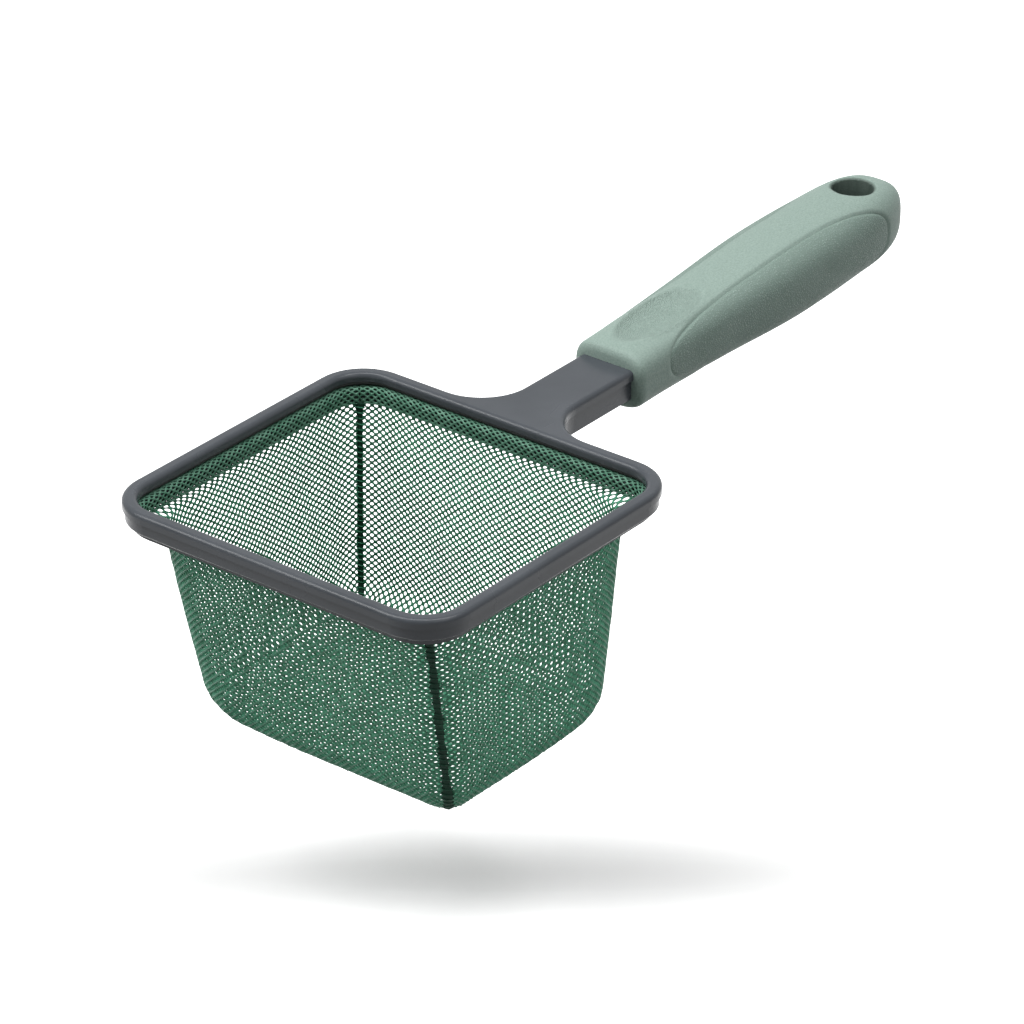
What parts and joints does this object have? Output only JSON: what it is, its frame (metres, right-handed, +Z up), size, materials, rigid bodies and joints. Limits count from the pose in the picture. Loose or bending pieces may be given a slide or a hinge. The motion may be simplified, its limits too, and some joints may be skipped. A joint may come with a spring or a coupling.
{
  "type": "aquarium fish net",
  "caption": "Hand net with a level rounded-square moulded hoop, a deep sewn mesh bag, a flared neck and a soft grip with textured side pads and a hang hole.",
  "frame": {"origin": "under the middle of the net's overall length and width, on the plane of the bag's floor", "axes": "+X along the handle, away from the hoop; +Z up, out of the bag's mouth; +Y to the left"},
  "size_m": [0.2472, 0.1, 0.0696],
  "materials": {
    "frame_plastic": "fine satin",
    "hem_cord": "matte",
    "hem_mesh": "knitted mesh, doubled",
    "net_mesh": "knitted diamond mesh",
    "seam_thread": "overcast thread",
    "grip_rubber": "satin, fine grain",
    "pad_rubber": "pebbled"
  },
  "bodies": {
    "root": {"frame": "frame_plastic", "hem_cord": "hem_cord", "net_hem": "hem_mesh", "net_front_wall": "net_mesh", "net_back_wall": "net_mesh", "net_left_wall": "net_mesh", "net_right_wall": "net_mesh", "net_floor": "net_mesh", "front_right_seam": "seam_thread", "back_left_seam": "seam_thread", "floor_seam": "seam_thread", "grip": "grip_rubber", "left_grip_pad": "pad_rubber", "right_grip_pad": "pad_rubber"}
  },
  "joints": []
}
